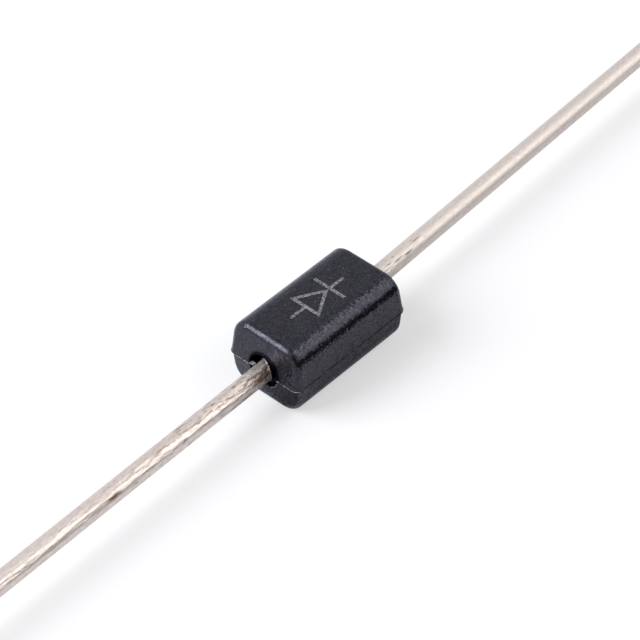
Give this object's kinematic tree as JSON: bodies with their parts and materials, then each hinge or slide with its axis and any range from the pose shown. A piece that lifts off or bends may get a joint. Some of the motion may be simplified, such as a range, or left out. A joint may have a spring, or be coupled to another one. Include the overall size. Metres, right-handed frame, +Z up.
{
  "type": "axial rectifier diode",
  "caption": "Rectifier diode in a small black moulded block with a round tinned lead out of each end, for through-hole mounting or in-line soldering.",
  "frame": {"origin": "middle of the flat bottom that the body rests on", "axes": "+X along the leads towards the cathode end, +Z up through the marked top of the body, +Y across the body"},
  "size_m": [0.0661, 0.0052, 0.0047],
  "materials": {
    "moulding_compound": "black epoxy moulding compound with a fine matt grain",
    "tinned_copper": "satin tin plating over copper wire, lightly scratched",
    "silicon": "polished dark grey silicon",
    "solder": "dull grey solder",
    "coating_rubber": "translucent white silicone rubber"
  },
  "bodies": {
    "root": {"moulded_body": "moulding_compound", "cathode_lead": "tinned_copper", "anode_lead": "tinned_copper", "silicon_die": "silicon", "cathode_solder": "solder", "anode_solder": "solder", "junction_coating": "coating_rubber"}
  },
  "joints": []
}
